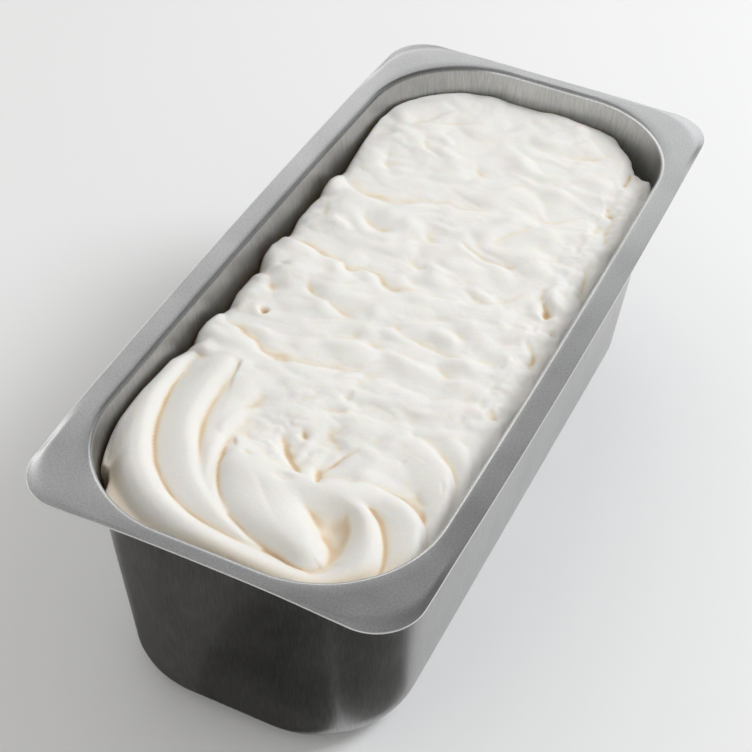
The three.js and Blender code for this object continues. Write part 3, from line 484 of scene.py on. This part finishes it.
def make_pan():
    def ring(plan, z):
        p = outline(plan)
        return np.c_[p, np.full(len(p), z)]

    def fillet(inset, outward, steps=8):
        r = FILLET - inset
        angles = np.linspace(0, np.pi / 2, steps + 1)
        for a in angles if outward else angles[::-1]:
            yield ring(grown(FOOT, -inset - r * (1 - math.sin(a))), FILLET - r * math.cos(a))

    def wall(inset, up):
        # the tapering wall between fillet and bend, with a ring every few millimetres
        ts = np.linspace(0, 1, 12)[1:-1]
        for t in ts if up else ts[::-1]:
            a = grown(FOOT, -inset)
            b = grown(OPENING, SHEET - inset)
            yield ring(a + (b - a) * t, FILLET + (BEND_Z - FILLET) * t)

    def bend(r, up, steps=7):
        angles = np.linspace(0, np.pi / 2, steps + 1)
        for a in angles if up else angles[::-1]:
            yield ring(grown(OPENING, BEND_R - r * math.cos(a)), BEND_Z + r * math.sin(a))

    inner, outer = outline(grown(OPENING, BEND_R)), outline(FLANGE)

    def flange(share, dz, inset=0.0):
        p = inner + (outer - inner) * share
        if inset:
            p = outline(grown(FLANGE, -inset))
        drop = corner_drop(p[:, 0], p[:, 1]) * smooth(0.70, 1.0, share) ** 1.2
        return np.c_[p, TOP + dz - drop]

    shares = [0.2, 0.4, 0.55, 0.66, 0.74, 0.8, 0.86, 0.91, 0.95, 0.98]
    e = 0.12  # the cut edge's broken corners
    rings = [ring(grown(FOOT, -FILLET) * 1.0, SHEET)]
    rings = list(fillet(SHEET, True)) + list(wall(SHEET, True)) + list(bend(BEND_R, True))
    rings += [flange(s, 0) for s in shares]
    cut_at = len(rings)
    rings += [flange(1, -0.03, e), flange(1, -e, 0.0), flange(1, -SHEET + e, 0.0), flange(1, -SHEET + 0.03, e)]
    rings += [flange(s, -SHEET) for s in shares[::-1]]
    rings += list(bend(BEND_R - SHEET, False)) + list(wall(0, False)) + list(fillet(0, False))
    n = len(rings[0])
    verts = np.concatenate([[[0, 0, SHEET]]] + rings + [[[0, 0, 0]]])
    faces = []
    i = np.arange(n)
    j = (i + 1) % n
    faces += np.c_[np.zeros(n, int), 1 + i, 1 + j].tolist()
    for k in range(len(rings) - 1):
        p, q = 1 + k * n, 1 + (k + 1) * n
        faces += np.c_[p + i, q + i, q + j, p + j].tolist()
    last = 1 + (len(rings) - 1) * n
    faces += np.c_[np.full(n, len(verts) - 1), last + j, last + i].tolist()
    ob = mesh_object("pan_steel", verts, faces)
    # the perimeter and profile runs, kept as the point attributes around and down
    per = np.r_[0, np.cumsum(np.linalg.norm(np.diff(np.vstack([outer, outer[:1]]), axis=0), axis=1))][:n]
    prof = np.cumsum([0] + [np.linalg.norm(rings[k + 1][0] - rings[k][0]) for k in range(len(rings) - 1)])
    uv = np.zeros((len(verts), 2), np.float32)
    for k in range(len(rings)):
        uv[1 + k * n : 1 + (k + 1) * n, 0] = per
        uv[1 + k * n : 1 + (k + 1) * n, 1] = prof[k]
    uv[-1, 1] = prof[-1] + 60
    uv[0, 1] = -60
    for name, col in (("around", 0), ("down", 1)):
        ob.data.attributes.new(name, "FLOAT", "POINT").data.foreach_set("value", np.ascontiguousarray(uv[:, col]))
    # the four rings of the cut edge, which the steel material makes rough and paints pale as a highlight
    cut = np.zeros(len(verts), np.float32)
    for k in range(cut_at, cut_at + 4):
        cut[1 + k * n : 1 + (k + 1) * n] = (0.4, 1, 1, 0.4)[k - cut_at]
    ob.data.attributes.new("cut", "FLOAT", "POINT").data.foreach_set("value", cut)
    return ob


# ---------------------------------------------------------------- materials
def new_material(name):
    m = bpy.data.materials.new(name)
    m.use_nodes = True
    nt = m.node_tree
    return m, nt, nt.nodes["Principled BSDF"]


def node(nt, kind, **inputs):
    n = nt.nodes.new(kind)
    for k, v in inputs.items():
        n.inputs[k.replace("_", " ")].default_value = v
    return n


def steel_material():
    m, nt, b = new_material("brushed_steel")
    b.inputs["Metallic"].default_value = 1.0
    pos = nt.nodes.new("ShaderNodeTexCoord")
    # vertical hairlines on walls: fine across x and y, long in z
    stretch = node(nt, "ShaderNodeMapping")
    stretch.inputs["Scale"].default_value = (1150, 1150, 50)
    nt.links.new(pos.outputs["Object"], stretch.inputs["Vector"])
    lines = node(nt, "ShaderNodeTexNoise", Scale=1.0, Detail=3.0, Roughness=0.6)
    nt.links.new(stretch.outputs["Vector"], lines.inputs["Vector"])
    broad = node(nt, "ShaderNodeTexNoise", Scale=28.0, Detail=3.0, Roughness=0.55)
    nt.links.new(pos.outputs["Object"], broad.inputs["Vector"])
    rough = nt.nodes.new("ShaderNodeMapRange")
    rough.inputs["To Min"].default_value = 0.29
    rough.inputs["To Max"].default_value = 0.38
    mix = nt.nodes.new("ShaderNodeMix")
    mix.data_type = "FLOAT"
    mix.inputs["Factor"].default_value = 0.4
    nt.links.new(lines.outputs["Fac"], mix.inputs["A"])
    nt.links.new(broad.outputs["Fac"], mix.inputs["B"])
    nt.links.new(mix.outputs["Result"], rough.inputs["Value"])
    rough.inputs["From Min"].default_value = 0.3
    rough.inputs["From Max"].default_value = 0.7
    nt.links.new(rough.outputs["Result"], b.inputs["Roughness"])
    ramp = nt.nodes.new("ShaderNodeValToRGB")
    ramp.color_ramp.elements[0].position, ramp.color_ramp.elements[1].position = 0.25, 0.75
    ramp.color_ramp.elements[0].color = (0.34, 0.34, 0.336, 1)
    ramp.color_ramp.elements[1].color = (0.64, 0.64, 0.632, 1)
    nt.links.new(mix.outputs["Result"], ramp.inputs["Fac"])
    # the sheared edge is rough; it is also painted pale and barely metallic so it shows as a bright line along the rim,
    # a painted highlight
    cut = nt.nodes.new("ShaderNodeAttribute")
    cut.attribute_name = "cut"
    pale = nt.nodes.new("ShaderNodeMix")
    pale.data_type = "RGBA"
    [i for i in pale.inputs if i.name == "B" and i.type == "RGBA"][0].default_value = (0.86, 0.86, 0.85, 1)
    [nt.links.new(cut.outputs["Fac"], i) for i in pale.inputs if i.name == "Factor" and i.type == "VALUE"]
    nt.links.new(ramp.outputs["Color"], [i for i in pale.inputs if i.name == "A" and i.type == "RGBA"][0])
    nt.links.new([o for o in pale.outputs if o.type == "RGBA"][0], b.inputs["Base Color"])
    shine = nt.nodes.new("ShaderNodeMapRange")
    shine.inputs["To Min"].default_value, shine.inputs["To Max"].default_value = 1.0, 0.15
    nt.links.new(cut.outputs["Fac"], shine.inputs["Value"])
    nt.links.new(shine.outputs["Result"], b.inputs["Metallic"])
    bump = node(nt, "ShaderNodeBump", Strength=0.05, Distance=0.00001)
    nt.links.new(lines.outputs["Fac"], bump.inputs["Height"])
    waves = node(nt, "ShaderNodeTexNoise", Scale=24.0, Detail=1.0, Roughness=0.4)
    nt.links.new(pos.outputs["Object"], waves.inputs["Vector"])
    sheet = node(nt, "ShaderNodeBump", Strength=0.3, Distance=0.0003)
    nt.links.new(waves.outputs["Fac"], sheet.inputs["Height"])
    nt.links.new(bump.outputs["Normal"], sheet.inputs["Normal"])
    nt.links.new(sheet.outputs["Normal"], b.inputs["Normal"])
    return m


def ice_cream_material():
    m, nt, b = new_material("ice_cream")
    b.inputs["Roughness"].default_value = 0.48
    b.inputs["IOR"].default_value = 1.36
    b.inputs["Subsurface Weight"].default_value = 0.6
    b.inputs["Subsurface Radius"].default_value = (1.0, 0.72, 0.5)
    b.inputs["Subsurface Scale"].default_value = 0.0022
    # painted shade: the hollow attribute takes the cream from white to a darker warm tan in creases, valleys and along
    # the near wall
    hollow = nt.nodes.new("ShaderNodeAttribute")
    hollow.attribute_name = "hollow"
    colour = nt.nodes.new("ShaderNodeValToRGB")
    colour.color_ramp.elements[0].color = (0.925, 0.915, 0.895, 1)
    colour.color_ramp.elements[1].color = (0.76, 0.58, 0.38, 1)
    colour.color_ramp.elements[0].position = 0.08
    colour.color_ramp.elements.new(0.45).color = (0.905, 0.85, 0.755, 1)
    nt.links.new(hollow.outputs["Fac"], colour.inputs["Fac"])
    nt.links.new(colour.outputs["Color"], b.inputs["Base Color"])
    pos = nt.nodes.new("ShaderNodeTexCoord")
    grain = node(nt, "ShaderNodeTexNoise", Scale=620.0, Detail=6.0, Roughness=0.7)
    nt.links.new(pos.outputs["Object"], grain.inputs["Vector"])
    bump = node(nt, "ShaderNodeBump", Strength=0.4, Distance=0.0005)
    nt.links.new(grain.outputs["Fac"], bump.inputs["Height"])
    nt.links.new(bump.outputs["Normal"], b.inputs["Normal"])
    return m


def plain_material(name, colour, rough=0.8):
    m, nt, b = new_material(name)
    b.inputs["Base Color"].default_value = (*colour, 1)
    b.inputs["Roughness"].default_value = rough
    b.inputs["Specular IOR Level"].default_value = 0.2
    return m


pan = make_pan()
pan.data.materials.append(steel_material())
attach(pan, "root")
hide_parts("pan")

ice = make_ice_cream()
ice.data.materials.append(ice_cream_material())
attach(ice, "root")
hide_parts("ice_cream")

# ---------------------------------------------------------------- camera
AZ, EL, ROLL, DIST = 24.11, 43.23, 2.49, 743.19
SHIFT_RIGHT, SHIFT_UP, FOCAL_PX = -12.5, -40.61, 1720.56
a, e, r = map(math.radians, (AZ, EL, ROLL))
back = Vector((math.sin(a) * math.cos(e), -math.cos(a) * math.cos(e), math.sin(e)))
right = (-back).cross(Vector((0, 0, 1))).normalized()
up = right.cross(-back)
right, up = math.cos(r) * right + math.sin(r) * up, -math.sin(r) * right + math.cos(r) * up
place = (back * DIST + right * SHIFT_RIGHT + up * SHIFT_UP + Vector((0, 0, TOP))) * MM
cam = bpy.data.objects.new("camera", bpy.data.cameras.new("camera"))
cam.data.sensor_width = 36
cam.data.lens = FOCAL_PX / 752 * 36
cam.matrix_world = Matrix.Translation(place) @ Matrix((right, up, back)).transposed().to_4x4()
bpy.context.scene.collection.objects.link(cam)
bpy.context.scene.camera = cam

# ---------------------------------------------------------------- floor and light
floor = mesh_object("floor", np.array([[-4000, -4000, -0.3], [4000, -4000, -0.3], [4000, 4000, -0.3], [-4000, 4000, -0.3]], float), [[0, 1, 2, 3]])
floor.data.materials.append(plain_material("floor", (0.95, 0.965, 0.99)))


def card(name, corners, colour):
    """A studio card that only shows in reflections."""
    ob = mesh_object(name, np.array(corners, float), [[0, 1, 2, 3]])
    ob.data.materials.append(plain_material(name, colour, 1.0))
    ob.visible_camera = ob.visible_diffuse = ob.visible_shadow = False
    ob.visible_transmission = ob.visible_volume_scatter = False
    return ob


card("card_front_left", [(-420, -700, 0.6), (-60, -700, 0.6), (-18, -158, 0.6), (-120, -120, 0.6)], (0.19, 0.19, 0.19))
card("card_front", [(-60, -700, 1), (160, -700, 1), (28, -170, 1), (-22, -172, 1)], (0.05, 0.05, 0.05))
card("card_front_turn", [(160, -700, 1), (260, -700, 1), (56, -158, 1), (28, -170, 1)], (0.06, 0.06, 0.06))
card("card_foot", [(-22, -179, 1.2), (26, -178, 1.2), (54, -158, 1.2), (-18, -158, 1.2)], (0.13, 0.13, 0.13))
card("card_front_right", [(260, -700, 0.8), (700, -500, 0.8), (150, -108, 0.8), (56, -156, 0.8)], (0.075, 0.075, 0.075))
card("card_right_foot", [(57, -155, 0.9), (150, -108, 0.9), (200, -48, 0.9), (73, -114, 0.9)], (0.12, 0.12, 0.12))


def area(name, place, target, size, power, colour=(1, 1, 1)):
    light = bpy.data.lights.new(name, "AREA")
    light.shape = "RECTANGLE"
    light.size, light.size_y = size
    light.energy = power
    light.color = colour
    ob = bpy.data.objects.new(name, light)
    ob.location = place
    ob.rotation_mode = "QUATERNION"
    ob.rotation_quaternion = (Vector(target) - Vector(place)).to_track_quat("-Z", "Y")
    ob.visible_glossy = False
    bpy.context.scene.collection.objects.link(ob)
    return ob


area("key", (1.22, 1.0, 1.50), (0, 0, 0.1), (0.8, 0.8), 23.5, (0.975, 0.985, 1.0))

# The steel mirrors a room that is bright low down behind and to the left, and darker overhead and
# to the right. Everything else is lit by an even white surround.
world = bpy.data.worlds.new("studio")
bpy.context.scene.world = world
world.use_nodes = True
wt = world.node_tree
even = wt.nodes["Background"]
even.inputs["Color"].default_value = (1, 0.972, 0.92, 1)
even.inputs["Strength"].default_value = 0.575
coord = wt.nodes.new("ShaderNodeTexCoord")
split = wt.nodes.new("ShaderNodeSeparateXYZ")
wt.links.new(coord.outputs["Generated"], split.inputs["Vector"])
ramp = wt.nodes.new("ShaderNodeValToRGB")
els = ramp.color_ramp.elements
els[0].position, els[1].position = 0.0, 1.0
for pos in (0.36, 0.51, 0.58, 0.64, 0.70, 0.77):
    els.new(pos)
for el, grey in zip(els, (0.35, 0.5, 2.05, 0.60, 0.24, 0.23, 0.12, 0.55)):
    el.color = (grey, grey * 1.01, grey * 1.015, 1)
wt.links.new(split.outputs["Z"], ramp.inputs["Fac"])
shift = wt.nodes.new("ShaderNodeMath")
shift.inputs[1].default_value = 0.5
wt.links.new(split.outputs["X"], shift.inputs[0])
across = wt.nodes.new("ShaderNodeValToRGB")
els = across.color_ramp.elements
els[0].position, els[1].position = 0.0, 0.85
for pos in (0.08, 0.15, 0.25, 0.4, 0.6):
    els.new(pos)
for el, grey in zip(els, (1.9, 1.6, 1.2, 0.95, 0.8, 0.62, 0.45)):
    el.color = (grey, grey, grey, 1)
wt.links.new(shift.outputs["Value"], across.inputs["Fac"])
seen = wt.nodes.new("ShaderNodeBackground")
wt.links.new(ramp.outputs["Color"], seen.inputs["Color"])
wt.links.new(across.outputs["Color"], seen.inputs["Strength"])
def fade(socket, start, end):
    n = wt.nodes.new("ShaderNodeMapRange")
    n.interpolation_type = "SMOOTHSTEP"
    n.inputs["From Min"].default_value, n.inputs["From Max"].default_value = start, end
    wt.links.new(socket, n.inputs["Value"])
    return n.outputs["Result"]


glow = wt.nodes.new("ShaderNodeMath")
glow.operation = "MULTIPLY"
wt.links.new(fade(split.outputs["Z"], 0.61, 0.52), glow.inputs[0])
wt.links.new(fade(split.outputs["X"], -0.36, -0.14), glow.inputs[1])
only_left = wt.nodes.new("ShaderNodeMath")
only_left.operation = "MULTIPLY"
wt.links.new(glow.outputs["Value"], only_left.inputs[0])
wt.links.new(fade(split.outputs["X"], 0.2, 0.0), only_left.inputs[1])
low_right = wt.nodes.new("ShaderNodeBackground")
low_right.inputs["Color"].default_value = (1.16, 1.19, 1.24, 1)
wt.links.new(only_left.outputs["Value"], low_right.inputs["Strength"])
seen_all = wt.nodes.new("ShaderNodeAddShader")
wt.links.new(seen.outputs["Background"], seen_all.inputs[0])
wt.links.new(low_right.outputs["Background"], seen_all.inputs[1])
path = wt.nodes.new("ShaderNodeLightPath")
both = wt.nodes.new("ShaderNodeMixShader")
wt.links.new(path.outputs["Is Glossy Ray"], both.inputs["Fac"])
wt.links.new(even.outputs["Background"], both.inputs[1])
wt.links.new(seen_all.outputs["Shader"], both.inputs[2])
wt.links.new(both.outputs["Shader"], wt.nodes["World Output"].inputs["Surface"])

bpy.context.scene.view_settings.view_transform = "Standard"
